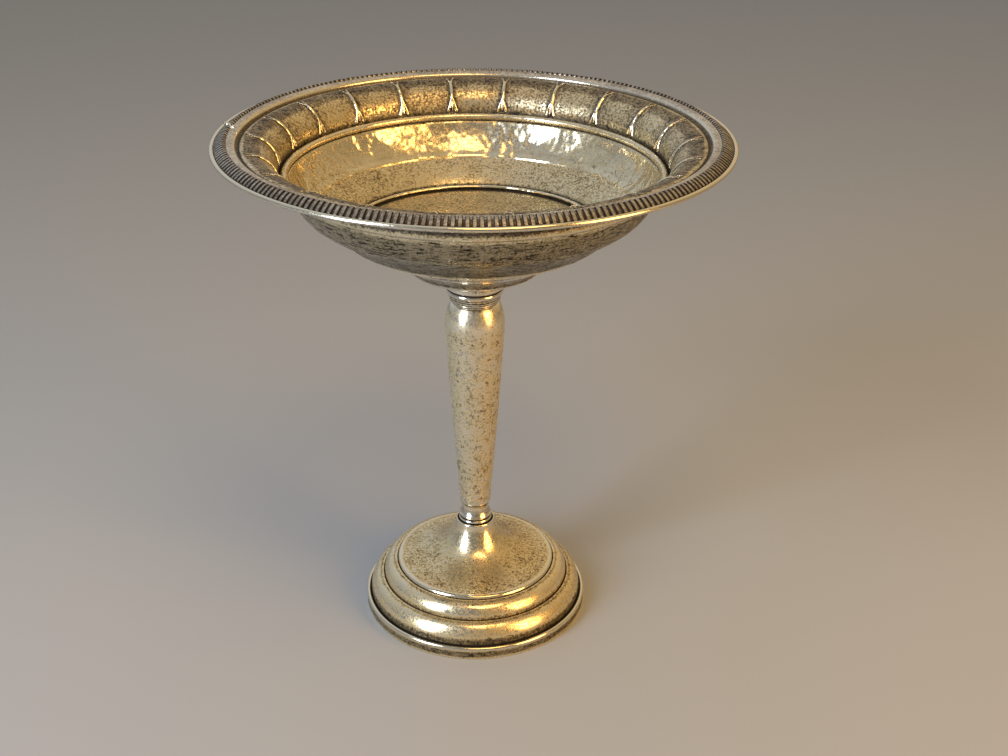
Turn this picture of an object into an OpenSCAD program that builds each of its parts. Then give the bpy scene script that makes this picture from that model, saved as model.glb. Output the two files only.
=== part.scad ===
/* [Foot] */
// Diameter of the foot where it stands
foot_d = 73.4; // [70:0.2:86]
// Height of the foot, from the table to the lip round the stem
foot_h = 30.9; // [28:0.1:40]
// Height of the upright band at the edge of the foot
edge_h = 4.4; // [3:0.1:5]
// Width of the edge band with the groove inside it
edge_w = 1.6; // [1.5:0.05:2]
// Height of the lower rounded step
lower_step_h = 6.2; // [4:0.1:7]
// Width of the lower rounded step
lower_step_w = 4.6; // [3:0.1:6]
// Height of the upper rounded step
upper_step_h = 4.8; // [3:0.1:5.6]
// Width of the upper rounded step
upper_step_w = 4.6; // [3:0.1:6]
// Height of the small lip round the top disc of the foot
disc_lip = 0.9; // [0.8:0.1:1.4]
// Outside diameter of the neck that holds the stem
neck_d = 12.6; // [12.5:0.1:16]
// Metal thickness of the foot
foot_wall = 0.6; // [0.4:0.05:0.65]

/* [Stem] */
// Length of the stem that shows, from its seat in the foot to the collar
stem_h = 78.4; // [60:0.1:120]
// Largest diameter of the stem, at its shoulder
shoulder_d = 18.6; // [17:0.1:24]
// Drop from the top of the stem to the widest part of the shoulder
shoulder_drop = 7.5; // [5:0.1:12]
// Diameter of the stem at the lower end of its taper
taper_d = 10; // [9.6:0.1:12]
// Height of the turned waist and bead below the taper
turning_h = 8.4; // [8:0.1:12]
// Diameter of the waist between the taper and the bead
waist_d = 8.8; // [8.6:0.1:9.4]
// Diameter of the bead that stands on the foot
stem_bead_d = 10.8; // [10.6:0.1:11]
// Diameter of the flared end of the waist above that bead
waist_foot_d = 10.6; // [10:0.1:11.6]
// Metal thickness of the stem
stem_wall = 0.6; // [0.4:0.05:0.8]

/* [Collar] */
// Diameter of the collar where it meets the stem
throat_d = 14.7; // [14.6:0.1:16]
// Height of the ringed throat of the collar
throat_h = 4.9; // [4:0.1:8]
// Diameter of the plain band above the throat
band_d = 18.2; // [17.2:0.1:24]
// Height of the plain band
band_h = 3.9; // [3:0.1:8]
// Diameter of the lower edge of the stepped cone
cone_low_d = 40.4; // [34:0.1:50]
// Diameter of the collar where it meets the bowl
cone_top_d = 73.8; // [66:0.1:75]
// Height of the stepped cone and its underside
cone_h = 12.8; // [11:0.1:16]
// Metal thickness of the collar
collar_wall = 0.6; // [0.4:0.05:0.7]

/* [Bowl] */
// Outside diameter of the rim
rim_d = 152.4; // [150:0.2:160]
// Depth of the bowl, from its floor to the flat under the border
bowl_depth = 29.1; // [27.5:0.1:33]
// Distance from the top edge of the collar out to the middle of the raised ring in the bowl
ring_gap = 1.2; // [1:0.05:2]
// Height of the raised ring above the floor
ring_h = 1.9; // [1.7:0.1:2.4]
// Diameter inside the bottom of the side wall
well_d = 101.4; // [99:0.2:104]
// Height of the bottom of the side wall above the floor
dish_h = 10; // [8.5:0.1:11]
// Diameter of the bead that divides the side wall from the panels
ledge_d = 110.8; // [109:0.2:112]
// Height of that bead above the floor
ledge_h = 19.9; // [19:0.1:21]
// Metal thickness of the bowl
bowl_wall = 0.6; // [0.4:0.05:0.7]

/* [Panels] */
// Number of ribs round the panel band
rib_count = 22; // [12:1:24]
// Turn of the ribs about the axis, in degrees
rib_turn = -0.9; // [-8:0.1:8]
// Height of a rib above the panels
rib_h = 0.45; // [0.3:0.05:0.6]
// Width of a rib
rib_w = 0.9; // [0.6:0.05:1.2]
// Width of each prong at the ends of a rib
prong_w = 0.5; // [0.4:0.05:0.7]
// Spread of the long fork at the foot of a rib
long_fork_w = 3.4; // [3:0.1:5]
// Length of that long fork
long_fork_l = 4.4; // [3:0.1:5]
// Spread of the short fork at the head of a rib
short_fork_w = 2.5; // [2:0.1:3]
// Length of that short fork
short_fork_l = 3.2; // [2:0.1:4]

/* [Border] */
// Number of beads round the border
bead_count = 260; // [180:2:280]
// Length of a bead, along the radius
bead_l = 3.7; // [3.2:0.1:4]
// Height of a bead above the border
bead_h = 0.7; // [0.5:0.05:1]
// Thickness of the border beside the beads
border_h = 1.8; // [1.6:0.05:2.2]
// Width of the border, from its inner edge to the outside of the rim
border_w = 7.8; // [7.6:0.1:8.4]
// Diameter of the rolled outer edge
roll_d = 1.5; // [1.4:0.05:1.6]

/* [Inside] */
// Diameter of the steel rod
rod_d = 4.8; // [3:0.1:5]
// Diameter of the head of the rod
rod_head_d = 12.8; // [12.4:0.1:13]
// Thickness of the head of the rod
rod_head_h = 1.5; // [1:0.1:2]
// Thickness of the plate that closes the foot
plate_t = 0.6; // [0.4:0.05:1]

/* [Hidden] */
$fn = 180;

// Clearance between pieces that fit inside one another
clearance = 0.1;
// Length by which a cutter runs past what it cuts
overrun = 1;
// Number of straight stretches in a long curve and in a short one
long_steps = 10;
short_steps = 5;
bead_steps = 3;

// Small sizes of the foot
groove_d = 0.4;
edge_groove_d = 0.7;
edge_bead_d = 1.4;
crimp_w = 1.6;
seat_depth = 0.4;
seat_hole_d = 6.6;
rod_foot_h = 3;
flare_shares = [[0, 0], [0.046, 0.42], [0.254, 0.88], [1, 1]];

// Small sizes of the stem
stem_bead_h = 1.4;
waist_foot_h = 1.9;
waist_lip_h = 0.6;
waist_h = 5;
waist_hollow = 0.3;
waist_top_h = 6.5;
taper_lip = 0.9;
taper_swell = 0.2;
shoulder_turn = 66;
spigot_h = 3;
spigot_wall = 0.8;

// Small sizes of the collar
throat_rings = 3;
throat_ring_h = 0.16;
throat_hollow = 0.3;
band_groove = 0.35;
cone_edge_h = 0.9;
cone_under_h = 2.6;
cone_lip_h = 0.5;
step_h = 0.5;
step_shares = [0.31, 0.62];

// Small sizes of the bowl
ring_bead_r = 0.8;
ledge_bead_r = 0.8;
ledge_groove_w = 0.7;
panel_rise = 1.8;
dish_shares = [[0, 0], [0.58, 0.47], [0.94, 0.66], [1, 1]];
crest_h = 0.4;
crest_gap = 1.9;
crest_fall_shares = [[0.3, 0.3], [0.5, 1]];
flange_gap = 1.3;
rib_sink = 0.3;
rib_end = 0.5;
middle_prong_share = 0.6;

// Small sizes of the border
bead_gap = 2.6;
bead_groove_w = 0.75;
bead_groove_lift = 0.12;
bead_crest_share = 0.5;
bead_fall = 1.7;
border_edge_h = 0.5;
border_edge_w = 0.7;
roll_drop = 0.85;

// Heights that the pieces stack up to
stem_z = foot_h - seat_depth;
collar_z = stem_z + stem_h;
band_z = collar_z + throat_h;
cone_z = band_z + band_h;
bowl_z = cone_z + cone_h;
floor_z = bowl_z + bowl_wall;
flange_z = floor_z + bowl_depth;
plate_z = foot_wall;
plate_top = plate_z + plate_t;
head_z = collar_z + spigot_h;

// Straight and curved stretches of an outline, in radius and height
function arc(center, size, from, to, steps) =
    [for (i = [0 : steps]) let (a = from + (to - from) * i / steps)
        center + [size[0] * cos(a), size[1] * sin(a)]];
function between(p, q, s) = p + (q - p) * s;
function bowed(p, q, rise, steps) =
    let (side = [q[1] - p[1], p[0] - q[0]] / norm(q - p))
    [for (i = [0 : steps]) let (s = i / steps) between(p, q, s) + side * rise * 4 * s * (1 - s)];
function bezier(points, steps) =
    [for (i = [0 : steps]) let (s = i / steps, t = 1 - s)
        t * t * t * points[0] + 3 * t * t * s * points[1] + 3 * t * s * s * points[2]
        + s * s * s * points[3]];
function spread(from, to, shares) =
    [for (s = shares) [from[0] + s[0] * (to[0] - from[0]), from[1] + s[1] * (to[1] - from[1])]];

// The same outline moved sideways by a distance, to the left of its direction, with sharp corners kept short
shortest_miter = 0.9;
function left(v) = [-v[1], v[0]] / norm(v);
function miter(path, i) =
    let (last = len(path) - 1,
         before = left(path[max(i, 1)] - path[max(i, 1) - 1]),
         after = left(path[min(i + 1, last)] - path[min(i + 1, last) - 1]))
    (before + after) / max(1 + before * after, shortest_miter);
function moved(path, distance) = [for (i = [0 : len(path) - 1]) path[i] + distance * miter(path, i)];
function backwards(path) = [for (i = [len(path) - 1 : -1 : 0]) path[i]];

// A spun sheet: an outline given a thickness and turned about the axis
module spun_sheet(path, thickness) {
    rotate_extrude() polygon(concat(path, backwards(moved(path, thickness))));
}

module ring(outer_d, inner_d, z, height) {
    translate([0, 0, z]) difference() {
        cylinder(d = outer_d, h = height);
        translate([0, 0, -overrun]) cylinder(d = inner_d, h = height + 2 * overrun);
    }
}

// Outline of the foot, from the lip round the stem down to the table
foot_r = foot_d / 2;
lower_step_r = foot_r - edge_w;
upper_step_r = lower_step_r - lower_step_w;
disc_r = upper_step_r - upper_step_w;
lower_step_z = edge_h + groove_d;
upper_step_z = lower_step_z + lower_step_h;
disc_z = upper_step_z + upper_step_h;
edge_bead_r = edge_bead_d / 2;
foot_upper_path = concat(
    bezier(spread([neck_d / 2, foot_h], [disc_r - disc_lip, disc_z + disc_lip], flare_shares), long_steps),
    arc([disc_r - disc_lip, disc_z], [disc_lip, disc_lip], 72, 0, short_steps - 1),
    [[disc_r, disc_z - groove_d]],
    arc([disc_r, upper_step_z], [upper_step_w, upper_step_h], 84, 0, long_steps),
    [[upper_step_r, upper_step_z - groove_d]],
    arc([upper_step_r, lower_step_z], [lower_step_w, lower_step_h], 84, 0, long_steps));
foot_path = concat(
    foot_upper_path,
    [[lower_step_r, edge_h - edge_groove_d]],
    arc([foot_r - edge_bead_r, edge_h - edge_bead_r], [edge_bead_r, edge_bead_r], 180, 0, short_steps),
    [[foot_r, 0]]);

module foot_shell() {
    color("#8f8878") {
        spun_sheet(foot_path, -foot_wall);
        ring(neck_d, seat_hole_d, stem_z - foot_wall, foot_wall);
        ring(foot_d - foot_wall, foot_d - 2 * crimp_w, 0, foot_wall);
    }
}

// The disc lies on the metal crimped inward at the bottom of the foot
module base_plate() {
    color("#777064") translate([0, 0, plate_z])
        cylinder(d = foot_d - 2 * (foot_wall + clearance), h = plate_t);
}

module foot_weight() {
    top_z = stem_z - foot_wall - clearance;
    fill_path = moved(concat(foot_upper_path, [[lower_step_r, 0]]), -(foot_wall + clearance));
    color("#b9b2a4") difference() {
        intersection() {
            rotate_extrude() polygon(concat([[0, foot_h]], fill_path, [[0, 0]]));
            translate([0, 0, plate_top]) cylinder(d = foot_d, h = top_z - plate_top);
        }
        translate([0, 0, rod_foot_h]) cylinder(d = rod_d + 2 * clearance, h = foot_h);
    }
}

// Outline of the stem, from its seat in the foot up to the collar
waist_r = waist_d / 2;
taper_z = stem_z + turning_h;
shoulder_z = collar_z - shoulder_drop;
shoulder_size = [(shoulder_d - throat_d) / 2 / (1 - cos(shoulder_turn)), shoulder_drop / sin(shoulder_turn)];
spigot_d = throat_d - 2 * (collar_wall + clearance);
stem_taper_path = concat(
    bowed([taper_d / 2, taper_z], [shoulder_d / 2, shoulder_z], taper_swell, long_steps),
    arc([shoulder_d / 2 - shoulder_size[0], shoulder_z], shoulder_size,
        shoulder_turn / long_steps, shoulder_turn, long_steps - 1));
stem_path = concat(
    arc([(stem_bead_d - stem_bead_h) / 2, stem_z + stem_bead_h / 2], [stem_bead_h, stem_bead_h] / 2,
        -90, 60, short_steps),
    [[waist_foot_d / 2, stem_z + waist_foot_h]],
    bowed([waist_foot_d / 2, stem_z + waist_foot_h + waist_lip_h], [waist_r, stem_z + waist_h],
        -waist_hollow, short_steps),
    [[waist_r, stem_z + waist_top_h]],
    arc([taper_d / 2 - taper_lip, taper_z - taper_lip], [taper_lip, taper_lip], -70, 0, short_steps),
    stem_taper_path);
stem_bore_path = concat(
    [[waist_r - stem_wall, stem_z], [waist_r - stem_wall, taper_z]],
    moved(stem_taper_path, stem_wall),
    [[spigot_d / 2 - spigot_wall, collar_z], [spigot_d / 2 - spigot_wall, head_z]]);

module stem_shell() {
    color("#9a9484") rotate_extrude() polygon(concat(
        stem_path,
        [[spigot_d / 2, collar_z], [spigot_d / 2, head_z]],
        backwards(stem_bore_path)));
}

module stem_filling() {
    color("#2e2a26") difference() {
        rotate_extrude() polygon(concat(
            [[0, stem_z]], moved(stem_bore_path, clearance), [[0, head_z]]));
        translate([0, 0, stem_z - overrun]) cylinder(d = rod_d + 2 * clearance, h = stem_h + throat_h);
    }
}

// The rod runs from the foot weight up to its head, which bears on the stem inside the collar
module reinforcing_rod() {
    color("#6b6b6e") {
        translate([0, 0, rod_foot_h]) cylinder(d = rod_d, h = head_z - rod_foot_h);
        translate([0, 0, head_z]) cylinder(d = rod_head_d, h = rod_head_h);
    }
}

// Outline of the collar, from the stem up to the bowl
throat_path = [for (i = [0 : 2 * throat_rings])
    bowed([throat_d / 2, collar_z + band_groove], [band_d / 2 - band_groove, band_z - band_groove],
        -throat_hollow, 2 * throat_rings)[i] + [throat_ring_h * (i % 2), 0]];
cone_low = [cone_low_d / 2, cone_z + cone_under_h + cone_edge_h];
cone_top = [cone_top_d / 2, bowl_z - cone_lip_h];
collar_path = concat(
    [[throat_d / 2, collar_z]],
    throat_path,
    [[band_d / 2 - band_groove, band_z], [band_d / 2, band_z + band_groove], [band_d / 2, cone_z],
     [cone_low_d / 2 - cone_edge_h / 2, cone_z + cone_under_h],
     [cone_low_d / 2, cone_z + cone_under_h + cone_edge_h / 2], cone_low],
    [for (s = step_shares) for (side = [-1, 1]) between(cone_low, cone_top, s) + [0, side * step_h / 2]],
    [cone_top, [cone_top_d / 2, bowl_z]]);

module bowl_collar() {
    color("#8c8676") spun_sheet(collar_path, collar_wall);
}

// Outline of the inside of the bowl, from the middle of the floor out to the flat under the border
rim_r = rim_d / 2;
ring_r = cone_top_d / 2 + ring_gap;
ledge_r = ledge_d / 2;
ledge_z = floor_z + ledge_h - ledge_bead_r;
border_r = rim_r - border_w;
crest_r = border_r - crest_gap;
crest_z = flange_z + crest_h;
panel_r = ledge_r + ledge_bead_r + ledge_groove_w + panel_rise / 6;
panel_z = ledge_z + ledge_bead_r + panel_rise;
panel_path = arc([crest_r, panel_z], [crest_r - panel_r, crest_z - panel_z], 180, 90, long_steps);
bowl_path = concat(
    [[0, floor_z], [ring_r - ring_bead_r, floor_z]],
    arc([ring_r, floor_z + ring_h - ring_bead_r], [ring_bead_r, ring_bead_r], 180, 60, short_steps),
    bezier(spread([ring_r + ring_bead_r, floor_z + ring_h - ring_bead_r / 2],
        [well_d / 2, floor_z + dish_h], dish_shares), long_steps),
    arc([ledge_r, ledge_z], [ledge_bead_r, ledge_bead_r], 165, 0, short_steps),
    [[ledge_r + ledge_bead_r + ledge_groove_w / 3, ledge_z - ledge_bead_r / 2],
     [ledge_r + ledge_bead_r + ledge_groove_w, ledge_z]],
    panel_path,
    spread([crest_r, crest_z], [border_r, flange_z], crest_fall_shares),
    [[rim_r - flange_gap, flange_z]]);

// A rib in its own flat outline: three prongs at its foot and two at its head
chord = [crest_r - panel_r, crest_z - panel_z];
module rib_outline() {
    head = norm(chord) - rib_end;
    half = [
        [rib_end, 0], [rib_end, prong_w / 2],
        [rib_end + long_fork_l * middle_prong_share, prong_w / 2],
        [rib_end, long_fork_w / 2 - prong_w], [rib_end, long_fork_w / 2],
        [rib_end + long_fork_l, rib_w / 2], [head - short_fork_l, rib_w / 2],
        [head, short_fork_w / 2], [head, short_fork_w / 2 - prong_w],
        [head - short_fork_l * middle_prong_share, 0]];
    polygon(concat(half, [for (i = [len(half) - 2 : -1 : 1]) [half[i][0], -half[i][1]]]));
}

module rib() {
    tilt = atan2(chord[1], chord[0]);
    intersection() {
        translate([panel_r, 0, panel_z]) rotate([0, -tilt, 0])
            translate([0, 0, -rib_sink - rib_h]) linear_extrude(norm(chord) / 2) rib_outline();
        rotate_extrude() polygon(concat(moved(panel_path, -rib_sink), backwards(moved(panel_path, rib_h))));
    }
}

module bowl() {
    color("#938b76") {
        spun_sheet(bowl_path, -bowl_wall);
        for (i = [0 : rib_count - 1]) rotate([0, 0, rib_turn + i * 360 / rib_count]) rib();
    }
}

// Outline of the border: a strip with a raised row for the beads and a rolled outer edge
roll_r = roll_d / 2;
roll_z = flange_z + roll_r - roll_drop;
bead_r = border_r + bead_gap;
bead_end_r = bead_r + bead_l;
bead_crest_r = bead_r + bead_l * bead_crest_share;
land_z = flange_z + border_h;
bead_end_z = land_z + bead_h - bead_fall;
border_path = concat(
    [[border_r, flange_z], [rim_r - flange_gap + clearance, flange_z],
     [rim_r - flange_gap + clearance, roll_z - roll_r]],
    arc([rim_r - roll_r, roll_z], [roll_r, roll_r], -75, 90, long_steps),
    arc([bead_crest_r, bead_end_z], [bead_end_r - bead_crest_r, bead_fall], 0, 90, bead_steps),
    arc([bead_crest_r, land_z], [bead_crest_r - bead_r, bead_h], 120, 180, bead_steps - 1),
    [[border_r + border_edge_w, land_z], [border_r, land_z - border_edge_h]]);

// The grooves between the beads run from their inner end down to their outer one
module rim_border() {
    fall = atan2(land_z - bead_end_z, bead_l);
    color("#a39b84") difference() {
        rotate_extrude() polygon(border_path);
        for (i = [0 : bead_count - 1]) rotate([0, 0, i * 360 / bead_count])
            translate([bead_r, 0, land_z + bead_groove_lift]) rotate([0, fall, 0]) rotate([90, 0, 90])
                linear_extrude(bead_l / cos(fall))
                    polygon([[0, 0], [bead_groove_w / 2, bead_fall], [-bead_groove_w / 2, bead_fall]]);
    }
}

bowl();
rim_border();
bowl_collar();
stem_shell();
foot_shell();
reinforcing_rod();
stem_filling();
foot_weight();
base_plate();
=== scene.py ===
import math

import bpy
import numpy as np
from mathutils import Matrix, Vector


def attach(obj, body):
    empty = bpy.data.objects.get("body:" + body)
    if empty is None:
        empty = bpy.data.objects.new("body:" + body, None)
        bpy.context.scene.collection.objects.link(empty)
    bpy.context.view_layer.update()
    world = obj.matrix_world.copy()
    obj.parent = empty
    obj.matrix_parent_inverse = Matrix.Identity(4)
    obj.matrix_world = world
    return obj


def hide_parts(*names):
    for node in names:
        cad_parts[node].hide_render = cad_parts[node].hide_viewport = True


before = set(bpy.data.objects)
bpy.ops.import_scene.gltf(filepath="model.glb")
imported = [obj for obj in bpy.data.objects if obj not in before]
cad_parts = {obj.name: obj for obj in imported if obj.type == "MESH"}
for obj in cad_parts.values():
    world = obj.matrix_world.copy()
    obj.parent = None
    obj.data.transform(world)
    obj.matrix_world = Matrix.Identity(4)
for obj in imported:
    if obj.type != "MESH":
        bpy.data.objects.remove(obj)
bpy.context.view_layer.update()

mm = 0.001  # every outline below is in millimetres, and every mesh in metres
tiny = 1e-9
scene = bpy.context.scene
print("frame loaded")

# An outline runs through stretches of (radius, height) points, each with what lies on the metal there:
# film is the brown sulphide, dirtAndShade the black that no cloth reaches and, in some places, painted shade;
# dash the scuffs that run round a wall.
# Crease and hollow follow from the outline's own shape, close by and further off.
laidMarks = ("film", "dirtAndShade", "dash")
shapeMarks = ("crease", "hollow")
markNames = laidMarks + shapeMarks
outlineSettings = {
    "step": 0.05, "tolerance": 0.005, "longest": 1.6, "sameSpot": 1e-5, "onAxis": 1e-6, "axisSnap": 0.02,
    "creaseReach": 0.75, "hollowReach": 2.6, "fullDip": 0.11, "markSpread": 0.3,
}


# Points on part of an ellipse, from one angle to another in degrees.
def arc(centre, size, start, end, steps):
    a = np.radians(np.linspace(start, end, steps + 1))
    return np.column_stack([centre[0] + size[0] * np.cos(a), centre[1] + size[1] * np.sin(a)])


def bezier(points, steps):
    t = np.linspace(0, 1, steps + 1)[:, None]
    p = np.array(points, float)
    return (1 - t) ** 3 * p[0] + 3 * (1 - t) ** 2 * t * p[1] + 3 * (1 - t) * t * t * p[2] + t ** 3 * p[3]


# Points between two ends, each at its own share of the way out and of the way up.
def spread(start, end, shares):
    return [(start[0] + a * (end[0] - start[0]), start[1] + b * (end[1] - start[1])) for a, b in shares]


# A run between two ends that swells to its right by the rise.
def bowed(start, end, rise, steps):
    p, q = np.array(start, float), np.array(end, float)
    side = np.array([q[1] - p[1], p[0] - q[0]]) / np.linalg.norm(q - p)
    t = np.linspace(0, 1, steps + 1)[:, None]
    return p + (q - p) * t + side * rise * 4 * t * (1 - t)


def softStep(value, start, end):
    t = np.clip((value - start) / (end - start), 0, 1)
    return t * t * (3 - 2 * t)


def runAlong(path):
    return np.concatenate([[0], np.cumsum(np.linalg.norm(np.diff(path, axis=0), axis=1))])


def pointsOf(stretches):
    return np.concatenate([np.array(places, float).reshape(-1, 2) for places, *marks in stretches])


def leftNormals(path, closed):
    ahead, behind = np.roll(path, -1, axis=0), np.roll(path, 1, axis=0)
    if not closed:
        ahead[-1], behind[0] = path[-1], path[0]
    d = ahead - behind
    d /= np.maximum(np.linalg.norm(d, axis=1), tiny)[:, None]
    return np.column_stack([-d[:, 1], d[:, 0]])


# A running average along the outline; the ends of an open one keep their place.
def blurred(values, sigma, closed):
    reach = int(math.ceil(3 * sigma))
    kernel = np.exp(-0.5 * (np.arange(-reach, reach + 1) / sigma) ** 2)
    kernel /= kernel.sum()
    if closed:
        padded = np.concatenate([values[-reach:], values, values[:reach]])
    else:
        before, after = values[reach:0:-1], values[-2:-reach - 2:-1]
        padded = np.concatenate([2 * values[0] - before, values, 2 * values[-1] - after])
    return np.column_stack([np.convolve(padded[:, i], kernel, "valid") for i in range(values.shape[1])])


# Keeps the points that hold the curve to the tolerance, and never a stretch longer than the longest.
def simplified(path):
    last = len(path) - 1
    kept, stack = {0, last // 2, last}, [(0, last // 2), (last // 2, last)]
    while stack:
        a, b = stack.pop()
        if b - a < 2:
            continue
        chord, offset = path[b] - path[a], path[a:b + 1] - path[a]
        length = max(np.linalg.norm(chord), tiny)
        off = np.abs(chord[0] * offset[:, 1] - chord[1] * offset[:, 0]) / length
        if off.max() > outlineSettings["tolerance"]:
            middle = a + int(np.argmax(off))
        elif length > outlineSettings["longest"]:
            middle = (a + b) // 2
        else:
            continue
        middle = min(max(middle, a + 1), b - 1)
        kept.add(middle)
        stack += [(a, middle), (middle, b)]
    return np.array(sorted(kept))


# The outline is cut into even steps and blurred, which rounds its corners as spinning and polishing do.
# Each point then learns how far it lies in a crease or hollow, or with a minus how far it stands out.
def finishOutline(stretches, rounding, closed):
    points = pointsOf(stretches)
    laid = np.concatenate([np.tile((marks + [0, 0])[:3], (len(places), 1)) for places, *marks in stretches])
    moved = np.linalg.norm(np.diff(points, axis=0), axis=1) > outlineSettings["sameSpot"]
    keep = np.concatenate([[True], moved])
    points, laid = points[keep], laid[keep]
    if closed:
        points, laid = np.vstack([points, points[:1]]), np.vstack([laid, laid[:1]])
    run = runAlong(points)
    count = int(run[-1] / outlineSettings["step"])
    step = run[-1] / count
    at = np.linspace(0, run[-1], count + 1)[:-1 if closed else None]
    path = np.column_stack([np.interp(at, run, points[:, i]) for i in range(2)])
    laid = np.column_stack([np.interp(at, run, laid[:, i]) for i in range(3)])
    loop = points if closed else np.vstack([points, points[:1]])
    if np.sum(loop[:-1, 0] * loop[1:, 1] - loop[1:, 0] * loop[:-1, 1]) > 0:
        path, laid = path[::-1].copy(), laid[::-1].copy()  # the metal lies on the right, so left is outwards
    path = blurred(path, rounding / step, closed)
    laid = blurred(laid, outlineSettings["markSpread"] / step, closed)
    normal = leftNormals(path, closed)
    marks = {name: laid[:, i] for i, name in enumerate(laidMarks)}
    for name in shapeMarks:
        reach = outlineSettings[name + "Reach"]
        dip = np.sum((blurred(path, reach / 2 / step, closed) - path) * normal, axis=1)
        marks[name] = np.clip(dip / (reach * outlineSettings["fullDip"]), -1, 1)
    if not closed:
        ends = path[[0, -1], 0]
        path[[0, -1], 0] = np.where(np.abs(ends) < outlineSettings["axisSnap"], 0, ends)
    chosen = simplified(path)
    return path[chosen], normal[chosen], {name: values[chosen] for name, values in marks.items()}


def newObject(name, mesh):
    piece = bpy.data.objects.new(name, mesh)
    scene.collection.objects.link(piece)
    return piece


def finishMesh(name, verts, faces, marks):
    mesh = bpy.data.meshes.new(name)
    mesh.from_pydata([tuple(v) for v in verts], [], faces)
    mesh.polygons.foreach_set("use_smooth", [True] * len(faces))
    for mark in markNames:
        values = np.broadcast_to(marks.get(mark, 0.0), len(verts))
        mesh.attributes.new(mark, "FLOAT", "POINT").data.foreach_set("value", values.astype(np.float32))
    mesh.update()
    return mesh


# Turns an outline about the axis, as a piece's own settings say. The lift moves each point along its
# normal, and the paint changes its marks.
def spun(name, stretches, settings, closed=True, lift=None, paint=None):
    path, normal, pathMarks = finishOutline(stretches, settings["rounding"], closed)
    segments = settings["segments"]
    angle = np.linspace(0, 2 * math.pi, segments, endpoint=False)
    verts, norms, rings, count = [], [], [], 0
    marks = {mark: [] for mark in markNames}
    for k, (r, z) in enumerate(path):
        wide = r > outlineSettings["onAxis"]
        around = angle if wide else angle[:1]
        rings.append((count, wide))
        count += len(around)
        h = lift(around, r, z) if lift else np.zeros(len(around))
        rr, zz = r + normal[k, 0] * h, z + normal[k, 1] * h
        verts.append(np.column_stack([rr * np.cos(around), rr * np.sin(around), zz]) * mm)
        side, up = normal[k] if wide else (0.0, math.copysign(1, normal[k, 1]))
        ups = np.full(len(around), up)
        norms.append(np.column_stack([side * np.cos(around), side * np.sin(around), ups]))
        here = {mark: np.full(len(around), pathMarks[mark][k]) for mark in markNames}
        if paint:
            paint(around, r, z, here)
        for mark in markNames:
            marks[mark].append(here[mark])
    faces = []
    pairs = list(zip(rings, rings[1:])) + ([(rings[-1], rings[0])] if closed else [])
    for (a, wideA), (b, wideB) in pairs:
        for j in range(segments):
            k = (j + 1) % segments
            if wideA and wideB:
                faces.append((a + j, b + j, b + k, a + k))
            elif wideB:
                faces.append((a, b + j, b + k))
            elif wideA:
                faces.append((a + j, b, a + k))
    marks = {mark: np.concatenate(values) for mark, values in marks.items()}
    mesh = finishMesh(name, np.vstack(verts), faces, marks)
    if lift is None:
        mesh.normals_split_custom_set_from_vertices(np.vstack(norms))
    return newObject(name, mesh)


# A raised strip: a grid of points on top, with walls down to one row of points under each side.
def gridSolid(name, top, lowLeft, lowRight, marks):
    rows, columns = top.shape[:2]
    left, right = rows * columns, rows * columns + rows
    at = np.arange(rows * columns).reshape(rows, columns).tolist()
    faces = [(at[i][j], at[i][j + 1], at[i + 1][j + 1], at[i + 1][j])
             for i in range(rows - 1) for j in range(columns - 1)]
    for i in range(rows - 1):
        faces.append((at[i][0], at[i + 1][0], left + i + 1, left + i))
        faces.append((at[i][-1], right + i, right + i + 1, at[i + 1][-1]))
        faces.append((left + i, left + i + 1, right + i + 1, right + i))
    faces.append([left, right] + at[0][::-1])
    faces.append([right + rows - 1, left + rows - 1] + at[-1])
    verts = np.vstack([top.reshape(-1, 3), lowLeft, lowRight])
    marks = {mark: np.concatenate([v.ravel(), v[:, 0], v[:, -1]]) for mark, v in marks.items()}
    return newObject(name, finishMesh(name, verts, faces, marks))


# Adds one node. An input takes a value, a socket to link from, or a node, which gives its first output.
def addNode(tree, kind, inputs=None, **settings):
    node = tree.nodes.new(kind)
    for key, value in settings.items():
        setattr(node, key, value)
    for key, value in (inputs or {}).items():
        if isinstance(value, bpy.types.Node):
            value = value.outputs[0]
        if isinstance(value, bpy.types.NodeSocket):
            tree.links.new(value, node.inputs[key])
        else:
            node.inputs[key].default_value = value
    return node


# A hex colour, as seen, turned to the linear values that the shader takes.
def srgb(code):
    parts = [int(code[i:i + 2], 16) / 255 for i in (1, 3, 5)]
    return tuple(c / 12.92 if c <= 0.04045 else ((c + 0.055) / 1.055) ** 2.4 for c in parts) + (1,)


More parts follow.
